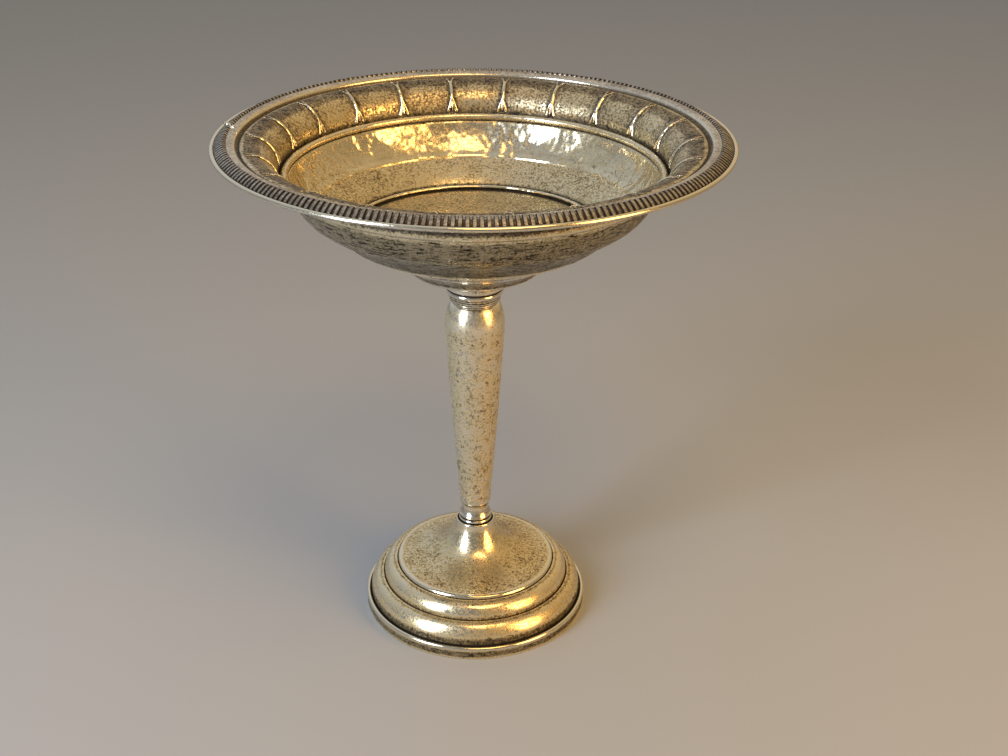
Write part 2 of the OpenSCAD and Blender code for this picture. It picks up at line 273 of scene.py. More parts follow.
# Sets copies of one object round the axis, each a little different, and gives them their material.
def ringTree(name):
    tree = bpy.data.node_groups.new(name, "GeometryNodeTree")
    wanted = {"Shape": "Object", "Count": "Int", "Turn": "Float", "Unevenness": "Float", "Seed": "Int",
              "Material": "Material"}
    for label, kind in wanted.items():
        tree.interface.new_socket(label, in_out="INPUT", socket_type="NodeSocket" + kind)
    tree.interface.new_socket("Geometry", in_out="OUTPUT", socket_type="NodeSocketGeometry")
    given = addNode(tree, "NodeGroupInput").outputs
    points = addNode(tree, "GeometryNodePoints", {"Count": given["Count"]})
    index = addNode(tree, "GeometryNodeInputIndex")
    share = addNode(tree, "ShaderNodeMath", {0: index, 1: given["Count"]}, operation="DIVIDE")
    angle = addNode(tree, "ShaderNodeMath", {0: share, 1: 2 * math.pi, 2: given["Turn"]},
                    operation="MULTIPLY_ADD")
    turn = addNode(tree, "ShaderNodeCombineXYZ", {"Z": angle})
    chance = addNode(tree, "FunctionNodeRandomValue",
                     {"Seed": given["Seed"], "Min": (-1, -1, -1), "Max": (1, 1, 1)}, data_type="FLOAT_VECTOR")
    change = addNode(tree, "ShaderNodeVectorMath", {0: chance, "Scale": given["Unevenness"]},
                     operation="SCALE")
    size = addNode(tree, "ShaderNodeVectorMath", {0: change, 1: (1, 1, 1)}, operation="ADD")
    shape = addNode(tree, "GeometryNodeObjectInfo", {"Object": given["Shape"]}, transform_space="ORIGINAL")
    copies = addNode(tree, "GeometryNodeInstanceOnPoints", {
        "Points": points, "Scale": size, "Instance": shape.outputs["Geometry"], "Rotation": turn})
    solid = addNode(tree, "GeometryNodeRealizeInstances", {0: copies})
    painted = addNode(tree, "GeometryNodeSetMaterial", {"Geometry": solid, "Material": given["Material"]})
    addNode(tree, "NodeGroupOutput", {0: painted})
    return tree


# Runs a tree on an empty mesh and keeps what it makes as a plain mesh.
def ringOf(name, tree, values):
    carrier = newObject(name + "Carrier", bpy.data.meshes.new(name + "Carrier"))
    modifier = carrier.modifiers.new("ring", "NODES")
    modifier.node_group = tree
    for item in tree.interface.items_tree:
        if item.in_out == "INPUT" and item.name in values:
            modifier[item.identifier] = values[item.name]
    seen = carrier.evaluated_get(bpy.context.evaluated_depsgraph_get())
    mesh = bpy.data.meshes.new_from_object(seen)
    mesh.name = name
    bpy.data.objects.remove(carrier)
    bpy.data.objects.remove(values["Shape"])
    mesh.polygons.foreach_set("use_smooth", [True] * len(mesh.polygons))
    return newObject(name, mesh)


def newMaterial(name):
    material = bpy.data.materials.new(name)
    material.use_nodes = True
    material.node_tree.nodes.clear()
    return material, material.node_tree


# Each pattern of the tarnish: detail and roughness of its noise, the stretch of it that is kept, and what
# that stretch becomes. Mottle, cloud and grit thicken and thin the film; speck and dash are black spots.
silverPatterns = {
    "mottle": (2, 0.55, 0.3, 0.7, -0.5, 0.5), "cloud": (6, 0.7, 0.32, 0.68, -0.5, 0.5),
    "speck": (4, 0.65, 0.52, 0.63, 0, 1), "grit": (1, 0.5, 0.36, 0.64, -0.5, 0.5),
    "dash": (2, 0.5, 0.56, 0.61, 0, 1),
}
rangeInputs = ("Value", "From Min", "From Max", "To Min", "To Max")

# Tarnished sterling silver, spun, chased and hand polished: a bright metal under a thin warm sulphide film,
# finely speckled where the film wears, black in every crease and nearly clean on the edges that a hand rubs.
# Patterns and depths are in millimetres. Real grit is much finer than this one, which is drawn to show.
silverLook = {
    "clean": "#e8e0c8", "film": "#bdab7c", "deepFilm": "#695b42", "oxide": "#231f1a",
    "mottle": 22, "cloud": 4.5, "speck": 1.3, "grit": 0.6, "dashLength": 4.2, "dashHeight": 0.36,
    "mottleAmount": 0.3, "cloudAmount": 0.28, "speckAmount": 0.8, "gritAmount": 0.6, "dashAmount": 1.6,
    "edgeGain": 1.2, "edgeClean": 0.6, "edgeBright": 0.7, "creaseOxide": 1.25, "hollowFilm": 0.2,
    "filmRange": (0, 0.6), "deepRange": (0.5, 1), "speckRange": (0.1, 0.9, 0.05, 1), "dashRange": (-0.4, 0.3),
    "filmMetal": 0.5, "cleanRoughness": 0.13, "filmRoughness": 0.46, "oxideRoughness": 0.16,
    "wave": 20, "waveDepth": 0.07, "waveNoise": (1, 0.5), "grainDepth": 0.003, "oxidePit": 1.5,
    "dent": 8, "dentDepth": 0.016, "dentRise": 1, "dentNoise": (2, 0.5), "polishRange": (0.1, 0.5, 1, 0.2),
}


def makeSilver(name, changes):
    look = {**silverLook, **changes}
    material, tree = newMaterial(name)
    place = addNode(tree, "ShaderNodeTexCoord").outputs["Object"]
    mark = {label: addNode(tree, "ShaderNodeAttribute", attribute_name=label).outputs["Fac"]
            for label in markNames}
    flat, rise = 1 / (look["dashLength"] * mm), 1 / (look["dashHeight"] * mm)
    streaks = addNode(tree, "ShaderNodeMapping", {"Vector": place, "Scale": (flat, flat, rise)})

    pattern = {}
    for label, (detail, rough, *span) in silverPatterns.items():
        size, where = (look[label] * mm, place) if label in look else (1, streaks)
        noise = addNode(tree, "ShaderNodeTexNoise",
                        {"Vector": where, "Scale": 1 / size, "Detail": detail, "Roughness": rough})
        pattern[label] = addNode(tree, "ShaderNodeMapRange", dict(zip(rangeInputs, (noise, *span))))

    edge = addNode(tree, "ShaderNodeMath", {0: mark["crease"], 1: -look["edgeGain"]},
                   operation="MULTIPLY", use_clamp=True)
    deep = addNode(tree, "ShaderNodeMath", {0: mark["hollow"], 1: look["hollowFilm"]},
                   operation="MULTIPLY", use_clamp=True)

    # The film: what the outline says, made uneven by the patterns, rubbed off the edges and thick in hollows.
    film = mark["film"]
    for label in ("mottle", "cloud", "grit"):
        film = addNode(tree, "ShaderNodeMath", {0: pattern[label], 1: look[label + "Amount"], 2: film},
                       operation="MULTIPLY_ADD")
    film = addNode(tree, "ShaderNodeMath", {0: edge, 1: -look["edgeClean"], 2: film},
                   operation="MULTIPLY_ADD")
    film = addNode(tree, "ShaderNodeMath", {0: film, 1: deep}, operation="ADD", use_clamp=True)

    # The black oxide: creases and the dirtAndShade mark, which is partly painted shade, then specks where
    # there is film, then scuffs, and none on the edges.
    filmHere = addNode(tree, "ShaderNodeMapRange", dict(zip(rangeInputs, (film, *look["speckRange"]))))
    specks = addNode(tree, "ShaderNodeMath", {0: pattern["speck"], 1: filmHere}, operation="MULTIPLY")
    cloudHere = addNode(tree, "ShaderNodeMapRange",
                        dict(zip(rangeInputs, (pattern["cloud"], *look["dashRange"]))))
    dashHere = addNode(tree, "ShaderNodeMath", {0: mark["dash"], 1: cloudHere}, operation="MULTIPLY")
    scuffs = addNode(tree, "ShaderNodeMath", {0: pattern["dash"], 1: dashHere}, operation="MULTIPLY")
    black = addNode(tree, "ShaderNodeMath", {0: mark["crease"], 1: look["creaseOxide"], 2: mark["dirtAndShade"]},
                    operation="MULTIPLY_ADD", use_clamp=True)
    for source, amount in ((specks, look["speckAmount"]), (scuffs, look["dashAmount"])):
        black = addNode(tree, "ShaderNodeMath", {0: source, 1: amount, 2: black}, operation="MULTIPLY_ADD")
    black = addNode(tree, "ShaderNodeMath", {0: edge, 1: -look["edgeBright"], 2: black},
                    operation="MULTIPLY_ADD", use_clamp=True)

    thin = addNode(tree, "ShaderNodeMapRange", dict(zip(rangeInputs, (film, *look["filmRange"]))))
    thick = addNode(tree, "ShaderNodeMapRange", dict(zip(rangeInputs, (film, *look["deepRange"]))))
    colour = srgb(look["clean"])
    for factor, shade in ((thin, "film"), (thick, "deepFilm"), (black, "oxide")):
        colour = addNode(tree, "ShaderNodeMix", {0: factor, 6: colour, 7: srgb(look[shade])},
                         data_type="RGBA").outputs[2]
    roughness, dulled = look["cleanRoughness"], look["filmRoughness"] - look["cleanRoughness"]
    for source, amount in ((film, dulled), (black, look["oxideRoughness"])):
        roughness = addNode(tree, "ShaderNodeMath", {0: source, 1: amount, 2: roughness},
                            operation="MULTIPLY_ADD")
    metal = addNode(tree, "ShaderNodeMath", {0: film, 1: look["filmMetal"] - 1, 2: 1.0},
                    operation="MULTIPLY_ADD", use_clamp=True)

    # Long waves from the spinning, dents that show where the metal is polished, and a grain with black pits.
    stretched = addNode(tree, "ShaderNodeMapping", {"Vector": place, "Scale": (1, 1, look["dentRise"])})
    for label, where in (("wave", place), ("dent", stretched)):
        detail, rough = look[label + "Noise"]
        pattern[label] = addNode(tree, "ShaderNodeTexNoise", {
            "Vector": where, "Scale": 1 / (look[label] * mm), "Detail": detail, "Roughness": rough})
    polish = addNode(tree, "ShaderNodeMapRange", dict(zip(rangeInputs, (mark["film"], *look["polishRange"]))))
    dents = addNode(tree, "ShaderNodeMath", {0: pattern["dent"], 1: polish}, operation="MULTIPLY")
    grain = addNode(tree, "ShaderNodeMath", {0: black, 1: -look["oxidePit"], 2: pattern["grit"]},
                    operation="MULTIPLY_ADD")
    bump = addNode(tree, "ShaderNodeBump", {"Height": pattern["wave"], "Distance": look["waveDepth"] * mm})
    for height, depth in ((dents, "dentDepth"), (grain, "grainDepth")):
        bump = addNode(tree, "ShaderNodeBump", {
            "Height": height, "Distance": look[depth] * mm, "Normal": bump})

    shader = addNode(tree, "ShaderNodeBsdfPrincipled", {
        "Base Color": colour, "Roughness": roughness, "Metallic": metal, "Normal": bump})
    addNode(tree, "ShaderNodeOutputMaterial", {"Surface": shader})
    return material


# The bars and fillings share one look: two near colours in clouds of one size, with a matching grain.
plainSettings = {"detail": 5, "roughness": 0.65}


def makePlain(name, colours, size, metallic, roughness, bump):
    material, tree = newMaterial(name)
    place = addNode(tree, "ShaderNodeTexCoord").outputs["Object"]
    clouds = addNode(tree, "ShaderNodeTexNoise", {
        "Vector": place, "Scale": 1 / (size * mm),
        "Detail": plainSettings["detail"], "Roughness": plainSettings["roughness"]})
    colour = addNode(tree, "ShaderNodeMix", {0: clouds, 6: srgb(colours[0]), 7: srgb(colours[1])},
                     data_type="RGBA")
    rough = addNode(tree, "ShaderNodeMapRange", dict(zip(rangeInputs, (clouds, 0, 1, *roughness))))
    grain = addNode(tree, "ShaderNodeBump", {"Height": clouds, "Distance": bump * mm})
    shader = addNode(tree, "ShaderNodeBsdfPrincipled", {
        "Base Color": colour.outputs[2], "Roughness": rough, "Metallic": metallic, "Normal": grain})
    addNode(tree, "ShaderNodeOutputMaterial", {"Surface": shader})
    return material


# The bowl: spun sheet, hand polished inside until its wall throws back the lamps in soft uneven patches.
bowlSilver = makeSilver("tarnishedSterlingBowl", {
    "film": "#c3b791", "deepFilm": "#706652", "dent": 7, "dentDepth": 1.6, "dentRise": 0.85})
# The collar: the same sheet, cleaned more often, so its metal is whiter and its film greyer.
collarSilver = makeSilver("tarnishedSterlingCollar", {
    "clean": "#e9e4d6", "film": "#bab096", "deepFilm": "#625a4c"})
# The border: a stamped strip with a cold grey film, too small to show waves or dents.
borderSilver = makeSilver("tarnishedSterlingBorder", {
    "film": "#a4a09a", "deepFilm": "#655f53", "mottle": 14, "cloud": 3, "waveDepth": 0.0, "dentDepth": 0.003,
    "gritAmount": 0.4, "speckAmount": 0.35, "filmMetal": 0.6})
# The stem: bright and pale between many black specks, with a soft sheen.
stemSilver = makeSilver("tarnishedSterlingStem", {
    "clean": "#ece8da", "film": "#c9ba90", "speck": 1.5, "speckAmount": 1.1, "gritAmount": 0.45,
    "filmMetal": 0.42, "filmRoughness": 0.5})
# The foot: an even golden film with fewer specks.
footSilver = makeSilver("tarnishedSterlingFoot", {"film": "#ccb986", "speckAmount": 0.65})
# The plate under the foot: sheet that was never polished, darker all over.
plateSilver = makeSilver("dullSterlingPlate", {"clean": "#a59b84"})
# Drawn steel bar: plain grey with a faint sheen.
drawnSteel = makePlain("drawnSteel", ("#6f6f72", "#8b8a88"), 4, 1.0, (0.3, 0.45), 0.004)
# Cutler's pitch, poured hot: nearly black, smooth and half glossy.
pitchFilling = makePlain("cutlersPitch", ("#15110e", "#2a221c"), 5, 0.0, (0.35, 0.6), 0.03)
# Cast plaster: off-white and quite matt.
castPlaster = makePlain("castPlaster", ("#cfc8ba", "#e2ddd2"), 2, 0.0, (0.8, 0.95), 0.05)
print("materials made")


# Gives a piece its material, hangs it on the root and hides the frame's parts that it replaces.
def finishPiece(piece, material, slot, *nodes):
    if material is not None:
        piece.data.materials.clear()
        piece.data.materials.append(material)
    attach(piece, "root")
    if nodes:
        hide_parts(*nodes)


# The marks of the outside go from the floor up: cone and wall, under the bead, beside it, and the panels and
# flange under the rim, whose dark marks are painted shade.
bowl = {
    "wall": 0.5, "dip": 0.01, "segments": 264, "rounding": 0.14,
    "floor": 131.1, "floorFlat": 28.0, "floorRise": 0.45, "floorEdge": 0.8,
    "ringRadius": 38.1, "ringBead": 0.8, "ringHeight": 1.9,
    "coneShares": [(0, 0), (0.3, 0.42), (0.82, 0.76), (1, 1)], "coneSteps": 40, "polishFrom": 30,
    "wellRadius": 50.1, "wellHeight": 10.0, "wallBow": 0.5, "wallTop": (0.2, 1.6), "wallCrease": (0.45, 1.0),
    "ledgeRadius": 55.4, "ledgeBead": 1.05, "ledgeTop": 151.6, "ledgeGroove": 0.6,
    "panelFoot": (57.2, 151.8), "panelHead": (66.5, 160.6), "panelSteps": 50, "panelZones": (6, 32, 35),
    "panelSkin": 0.9, "panelMargin": 0.05, "panelWearAndShading": 0.12, "cushion": 0.16, "cushionLean": 0.8,
    "fallShares": [(0.3, 0.3), (0.5, 1)], "borderRadius": 68.4, "edgeRadius": 74.9, "flange": 160.2,
    "outsideBreaks": (1, -1, 0.5, 0.5),
    # The last marks, under the rim, are dark with painted shade.
    "outsideMarks": [(0.9, 0.6, 0), (0.5, 0.59, 1), (0.9, 0.5, 0), (0.6, 0.15, 0), (1.0, 0.6, 0.3)],
}
# A rib is drawn flat, from its foot to its head. Ends, forks and overlaps are lengths along it, spreads and
# joins lie across it, and taper, rises and fade are shares of its width or height.
ribs = {
    "count": 22, "turn": -0.9, "height": 0.45, "halfWidth": 0.5, "prongHalfWidth": 0.3,
    "footHalfWidth": 0.42, "footEnd": 0.25, "footFork": 4.5, "footSpread": 1.3, "footJoin": 0.1,
    "footOverlap": 0.6, "footRise": 0.95, "middleShort": 0.35, "middleThin": 0.8,
    "headEnd": 0.5, "headFork": 3.6, "headSpread": 1.15, "headJoin": 0.14, "headOverlap": 0.3,
    "headRise": 0.8, "headFade": (5.5, 2.0, 0.72), "taper": (0.95, 0.8), "roundness": 1.25,
    "reach": 2.5, "fadeWidth": 0.8, "halo": (0.1, 1.7), "ridgeStep": (0.03, 0.12), "edgeStep": (0.1, 0.3),
    "filmAround": 0.86, "filmHalo": 0.14, "filmOn": 0.1, "haloOxideAndShade": 0.66, "edgeMark": -0.75,
    "rows": 74, "columns": 51, "curveSteps": 400, "margin": 0.05,
    "sink": 0.06, "apron": 0.02, "rootDepth": 0.3,
}


def panelCurve(steps):
    foot, head = bowl["panelFoot"], bowl["panelHead"]
    return arc((head[0], foot[1]), (head[0] - foot[0], head[1] - foot[1]), 180, 90, steps)


# The inside from the middle of the floor out to the edge, then the same line moved out by the sheet's wall.
def bowlStretches():
    b = bowl
    f, ring, bead, ledge = b["floor"], b["ringBead"], b["ledgeBead"], b["ledgeTop"] - b["ledgeBead"]
    ringFoot, ringZ = b["ringRadius"] - ring, f + b["ringHeight"] - ring
    beadFoot, groove = b["ledgeRadius"] - bead, b["ledgeRadius"] + bead
    well = (b["wellRadius"], f + b["wellHeight"])
    cone = bezier(spread((b["ringRadius"] + ring, ringZ + ring / 2), well, b["coneShares"]), b["coneSteps"])
    wallTop = (beadFoot + b["wallTop"][0], ledge - b["wallTop"][1])
    panel, (footEnd, bellyEnd, headStart) = panelCurve(b["panelSteps"]), b["panelZones"]
    inside = [
        ([(0, f), (b["floorFlat"], f), (ringFoot - b["floorEdge"], f + b["floorRise"])], 0.6),
        ([(ringFoot, f + b["floorRise"])], 0.8, 0.5),
        (arc((b["ringRadius"], ringZ), (ring, ring), 170, 60, 10), 0.1),
        (cone[:b["polishFrom"]], 0.55),
        (cone[b["polishFrom"]:], 0.15),
        (bowed(well, wallTop, b["wallBow"], 20)[1:], 0.15),
        ([(beadFoot + b["wallCrease"][0], ledge - b["wallCrease"][1])], 0.4, -0.3),
        (arc((b["ledgeRadius"], ledge), (bead, bead), 212, 10, 14), 0.8, -0.3),
        ([(groove + b["ledgeGroove"] / 3, ledge - bead / 2), (groove + b["ledgeGroove"], ledge)], 0.9, 0.2),
        # The panels' heads and their fall to the border are dark: painted shade under the border.
        (panel[:footEnd], 0.9, 0.3), (panel[footEnd:bellyEnd], 0.84, 0.14), (panel[headStart:], 1.0, 0.66),
        (spread(b["panelHead"], (b["borderRadius"], b["flange"]), b["fallShares"]), 0.95, 0.3),
        ([(b["edgeRadius"], b["flange"])], 0.7),
    ]
    joined = pointsOf(inside)
    under = joined - b["wall"] * leftNormals(joined, False)
    underside = f - b["wall"]
    under[0] = (0, underside)
    # Outside the ring the moved line dips under the floor and loops, so those points go.
    keep = (under[:, 1] > underside - b["dip"]) | (under[:, 0] < b["ringRadius"])
    outside = under[keep][::-1]
    r, z = outside.T
    overFloor, toBead, pastBead, overBead = b["outsideBreaks"]
    limits = [z < f + overFloor, z < ledge + toBead, r < b["ledgeRadius"] + pastBead, z < ledge + overBead]
    zone = np.select(limits, [0, 1, 2, 3], 4)
    parts = np.split(np.arange(len(outside)), np.flatnonzero(np.diff(zone)) + 1)
    return inside + [(outside[p], *b["outsideMarks"][zone[p[0]]]) for p in parts]


# Tells the panels' inner face, which lies on their ellipse, from the outer one, which lies within it.
def onPanel(r, z):
    (footR, footZ), (headR, headZ) = bowl["panelFoot"], bowl["panelHead"]
    within = ((headR - r) / (headR - footR)) ** 2 + ((z - footZ) / (headZ - footZ)) ** 2
    margin = bowl["panelMargin"]
    return within > bowl["panelSkin"] and footR - margin < r < headR + margin and z >= footZ - margin


# 1 on a rib and -1 midway between two.
def ribWave(around):
    return np.cos(ribs["count"] * (around - math.radians(ribs["turn"])))


# The panels swell a little between the ribs, most of all halfway up the band.
def cushionAt(z):
    footZ, headZ = bowl["panelFoot"][1], bowl["panelHead"][1]
    share = np.clip((z - footZ) / (headZ - footZ), 0, 1)
    return -bowl["cushion"] * np.sin(math.pi * share ** bowl["cushionLean"])


def cushionLift(around, r, z):
    return cushionAt(z) * ribWave(around) if onPanel(r, z) else np.zeros(len(around))


# The middle of each panel is rubbed and its sides keep more film: partly real wear, partly a painted
# highlight in the middle and painted shade at the sides.
def paintPanelWearAndShading(around, r, z, marks):
    if onPanel(r, z):
        marks["film"] += bowl["panelWearAndShading"] * ribWave(around)


# One chased rib: a round ridge up the panel band, forked at both ends, on an apron with its dark halo, which
# is partly oxide beside the rib and partly painted shade.
def ribShape():
    g = ribs
    curve = panelCurve(g["curveSteps"])
    normal, run = leftNormals(curve, False), runAlong(curve)
    length = run[-1]
    s = np.linspace(g["margin"], length - g["margin"], g["rows"])
    along, across = np.meshgrid(s, np.linspace(-1, 1, g["columns"]) * g["reach"], indexing="ij")
    nearest = np.full(along.shape, np.inf)

    def ridge(start, end, startWidth, endWidth, height):
        (s0, c0), (s1, c1) = start, end
        t = ((along - s0) * (s1 - s0) + (across - c0) * (c1 - c0)) / ((s1 - s0) ** 2 + (c1 - c0) ** 2)
        t = np.clip(t, 0, 1)
        away = np.hypot(along - s0 - t * (s1 - s0), across - c0 - t * (c1 - c0))
        width = startWidth + t * (endWidth - startWidth)
        np.minimum(nearest, away - width, out=nearest)
        return height * np.sqrt(np.clip(1 - (away / (width * g["roundness"])) ** 2, 0, 1))

    h, w, prong = g["height"], g["halfWidth"], g["prongHalfWidth"]
    fork, neck = g["footFork"], length - g["headFork"]
    low, high = g["taper"]
    lift = ridge((fork - g["footOverlap"], 0), (neck + g["headOverlap"], 0), w * low, w * high, h)
    for side in (-1, 0, 1):
        start = (g["footEnd"] + (0 if side else g["middleShort"]), side * g["footSpread"])
        wide = g["footHalfWidth"] if side else prong * g["middleThin"]
        lift = np.maximum(lift, ridge(start, (fork, side * g["footJoin"]), wide, prong, h * g["footRise"]))
    for side in (-1, 1):
        start = (length - g["headEnd"], side * g["headSpread"])
        lift = np.maximum(lift, ridge(start, (neck, side * g["headJoin"]), prong, prong, h * g["headRise"]))
    early, late, share = g["headFade"]
    lift = lift * (1 - share * softStep(along, length - early, length - late))
    onRidge = softStep(lift, *g["ridgeStep"])
    fade = softStep(np.abs(across), g["reach"], g["reach"] - g["fadeWidth"])
    # The halo darkens the panel beside the rib: partly oxide, partly painted shade.
    halo = (1 - softStep(nearest, *g["halo"])) * fade
    marks = {"crease": g["edgeMark"] * softStep(lift, *g["edgeStep"]),
             "film": (g["filmAround"] + g["filmHalo"] * halo) * (1 - onRidge) + g["filmOn"] * onRidge,
             "dirtAndShade": g["haloOxideAndShade"] * halo * (1 - onRidge)}
    lift = lift + g["apron"] - (g["sink"] + g["apron"]) * (1 - fade)
    r0, z0, nr, nz = (np.interp(s, run, line)[:, None] for line in (*curve.T, *normal.T))

    def points(height, side):
        a = side / r0
        up = height + cushionAt(z0) * np.cos(g["count"] * a)
        return np.stack([(r0 + nr * up) * np.cos(a), (r0 + nr * up) * np.sin(a), z0 + nz * up], axis=-1) * mm

    top = points(lift, across)[:, ::-1]
    low = points(np.full((len(s), 2), -g["rootDepth"]), np.tile([g["reach"], -g["reach"]], (len(s), 1)))
    return gridSolid("ribPattern", top, low[:, 0], low[:, 1], {k: m[:, ::-1] for k, m in marks.items()})


bowlSheet = spun("bowl_sheet", bowlStretches(), bowl, closed=False, lift=cushionLift, paint=paintPanelWearAndShading)
finishPiece(bowlSheet, bowlSilver, "bowl_silver", "bowl")
ringNodes = ringTree("copiesRoundAxis")
panelRibs = ringOf("panel_ribs", ringNodes, {
    "Shape": ribShape(), "Count": ribs["count"], "Turn": math.radians(ribs["turn"]),
    "Unevenness": 0.0, "Seed": 3, "Material": bowlSilver})
finishPiece(panelRibs, None, "bowl_silver", "bowl")
print("bowl and ribs made")

border = {
    "inner": 68.4, "outer": 75.8, "under": 75.0, "flange": 160.2, "roll": 0.72, "rollZ": 160.1,
    "land": 161.95, "lipDrop": 1.15, "landGap": 0.3, "landEdge": (0.35, 0.1),
    "beadStart": 71.0, "beadEnd": 74.5, "beadCrest": 162.5, "beadFall": 1.75, "crestShare": 0.18,
    "fallPower": 1.4, "slotDepth": 0.5, "slotStart": 0.2, "slotSteps": 12, "rollCrease": (0.1, 0.6),
    "segments": 520, "rounding": 0.07,
}
# The film and dark marks of a bead are given on its top, with what its sides add and what its outer end adds.
# The dark down the sides is partly oxide in the slots and partly painted shade.
beads = {
    "count": 260, "halfWidth": 0.6, "flatness": 8, "root": 0.3, "sink": 0.04, "unevenness": 0.0004,
    "along": (-1, -0.92, -0.64, -0.1, 0.45, 0.9, 1), "across": (-1, -0.96, -0.86, -0.6, 0.6, 0.86, 0.96, 1),
    "endTaper": (0.85, 0.12), "sideStep": (0.6, 0.86), "outerStep": (0.55, 1),
    "film": (0.6, 0.4, 0.15), "dirtAndShade": (0.18, 0.77, 0.15),
}
seam = {
    "azimuth": (179.3, 170.6), "halfWidth": 0.6, "height": 0.5, "sink": 0.1, "lid": 0.18, "root": 0.25,
    "inset": 0.25, "overRoll": 0.2, "rollShare": 0.98, "swing": 0.5, "crease": -0.7, "film": -0.2,
    "wander": ((1, 17, 0.6), (0.5, 37, 2)), "widthWave": (0.45, 17, 1), "heightWave": (0.3, 29, 0),
    "steps": 44, "columns": 7,
}


# The height of the beads' tops along the radius: a short rise to the crest, then one long fall to the roll.
def beadHeight(radius):
    b, c = border, border["crestShare"]
    t = np.clip((radius - b["beadStart"]) / (b["beadEnd"] - b["beadStart"]), 0, 1)
    rise = b["land"] + (b["beadCrest"] - b["land"]) * (1 - np.clip(1 - t / c, 0, 1) ** 2)
    fall = b["beadCrest"] - b["beadFall"] * np.clip((t - c) / (1 - c), 0, 1) ** b["fallPower"]
    return np.where(t < c, rise, fall)


# The slots between the beads follow the beads' tops a little below them, from the smooth band to the roll.
def borderStretches():
    b = border
    landFoot, landR = b["land"] - b["lipDrop"], b["beadStart"] - b["landGap"]
    roll = ((b["outer"] - b["roll"], b["rollZ"]), (b["roll"], b["roll"]))
    slots = np.linspace(b["beadStart"] + b["slotStart"], b["beadEnd"], b["slotSteps"])
    return [
        ([(b["inner"], b["flange"]), (b["inner"], landFoot)], 0.9, 0.2),
        (arc((landR, landFoot), (landR - b["inner"], b["lipDrop"]), 168, 104, 10), 0.68, 0.14),
        ([(b["beadStart"] - gap, b["land"]) for gap in b["landEdge"]], 0.8, 0.3),
        (np.column_stack([slots, beadHeight(slots) - b["slotDepth"]]), 1.0, 0.8),
        ([(b["beadEnd"] + b["rollCrease"][0], b["rollZ"] + b["rollCrease"][1])], 1.0, 0.6),
        (arc(*roll, 92, 22, 14), 0.32),
        # The roll's underside and the wall below it are dark: painted shade under the rim.
        (arc(*roll, 4, -75, 12), 1.0, 0.85),
        ([(b["under"], b["rollZ"] - b["roll"]), (b["under"], b["flange"])], 0.9, 0.8),
    ]


# A grid with walls that go straight down from its two sides.
def rootedSolid(name, top, root, marks):
    low = top[:, [0, -1]].copy()
    low[..., 2] -= root * mm
    return gridSolid(name, top, low[:, 0], low[:, 1], marks)


# One bead of the border: a flat-topped lobe that lies along the radius, black down its sides and outer end,
# partly with oxide and partly with painted shade.
def beadShape():
    b = border
    along, across = np.meshgrid(beads["along"], beads["across"], indexing="ij")
    middle, half = (b["beadStart"] + b["beadEnd"]) / 2, (b["beadEnd"] - b["beadStart"]) / 2
    radius = middle + half * along
    rise = (1 - np.abs(across) ** beads["flatness"]) ** (1 / beads["flatness"])
    slot = beadHeight(radius) - b["slotDepth"] - beads["sink"]
    height = slot + (beadHeight(radius) - slot) * rise
    taperFrom, taper = beads["endTaper"]
    width = beads["halfWidth"] * (1 - taper * softStep(np.abs(along), taperFrom, 1))
    top = np.stack([radius, across * width * radius / middle, height], axis=-1) * mm
    sides, outerEnd = softStep(np.abs(across), *beads["sideStep"]), softStep(along, *beads["outerStep"])
    marks = {}
    for mark in ("film", "dirtAndShade"):
        onTop, onSides, onEnd = beads[mark]
        marks[mark] = onTop + onSides * sides + onEnd * outerEnd
    return rootedSolid("beadPattern", top, beads["root"], marks)


# The solder joint of the border: a small uneven ridge that wanders across it.
def solderSeam():
    b = border
    s, t = np.linspace(0, 1, seam["steps"]), np.linspace(-1, 1, seam["columns"])

    def wave(amount, speed, start):
        return amount * np.sin(s * speed + start)

    radius = b["inner"] + seam["inset"] + s * (b["outer"] - b["roll"] - b["inner"] + seam["overRoll"])
    landR = b["beadStart"] - b["landGap"]
    slope = np.clip((landR - radius) / (landR - b["inner"]), 0, 1)
    onLand = b["land"] - b["lipDrop"] * (1 - np.sqrt(1 - slope ** 2))
    ground = np.where(radius > b["beadStart"], beadHeight(radius), onLand)
    ground = np.where(radius > b["beadEnd"], b["rollZ"] + b["roll"] * seam["rollShare"], ground)
    wander = seam["swing"] * sum(wave(*w) for w in seam["wander"]) / sum(w[0] for w in seam["wander"])
    wide = seam["halfWidth"] * (1 + wave(*seam["widthWave"]))
    side = wander[:, None] + wide[:, None] * t
    ridge = (seam["height"] + seam["sink"]) * np.sqrt(1 - t ** 2) * (1 + wave(*seam["heightWave"]))[:, None]
    height = np.minimum(ground[:, None] - seam["sink"] + ridge, b["beadCrest"] + seam["lid"])
    a = np.radians(np.interp(s, [0, 1], seam["azimuth"]))[:, None] + side / radius[:, None]
    top = np.stack([radius[:, None] * np.cos(a), radius[:, None] * np.sin(a), height], axis=-1) * mm
    marks = {mark: np.full(height.shape, seam[mark]) for mark in ("crease", "film")}
    return rootedSolid("solder_seam", top, seam["root"], marks)


borderStrip = spun("border_strip", borderStretches(), border)
finishPiece(borderStrip, borderSilver, "border_silver", "rim_border")
borderBeads = ringOf("border_beads", ringNodes, {
    "Shape": beadShape(), "Count": beads["count"], "Turn": 0.0,
    "Unevenness": beads["unevenness"], "Seed": 7, "Material": borderSilver})
finishPiece(borderBeads, None, "border_silver", "rim_border")
finishPiece(solderSeam(), borderSilver, "border_silver", "rim_border")
print("border made")

